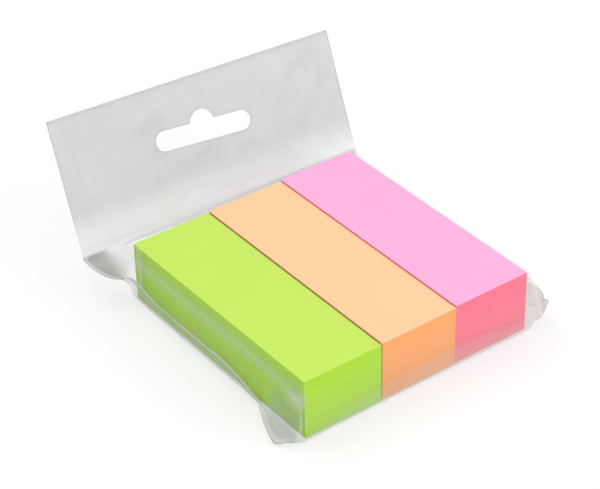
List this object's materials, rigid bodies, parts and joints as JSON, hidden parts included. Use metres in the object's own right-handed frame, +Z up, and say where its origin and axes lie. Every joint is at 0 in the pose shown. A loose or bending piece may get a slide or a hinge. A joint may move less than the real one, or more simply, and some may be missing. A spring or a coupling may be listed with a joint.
{
  "type": "sticky notes",
  "caption": "Pads of coloured sticky notes side by side in a clear film pouch whose header leans back and has a hanging slot.",
  "frame": {"origin": "centre of the pouch's flat underside, under the middle of the pads", "axes": "+Z up from the underside, +X across the pads, +Y from the front fold towards the header"},
  "size_m": [0.0974, 0.107, 0.0463],
  "materials": {
    "green_paper": "matte fluorescent paper",
    "orange_paper": "matte fluorescent paper",
    "pink_paper": "matte fluorescent paper",
    "clear_film": "clear glossy film"
  },
  "bodies": {
    "root": {"pad_green": "green_paper", "pad_orange": "orange_paper", "pad_pink": "pink_paper", "film_pouch": "clear_film"}
  },
  "joints": []
}
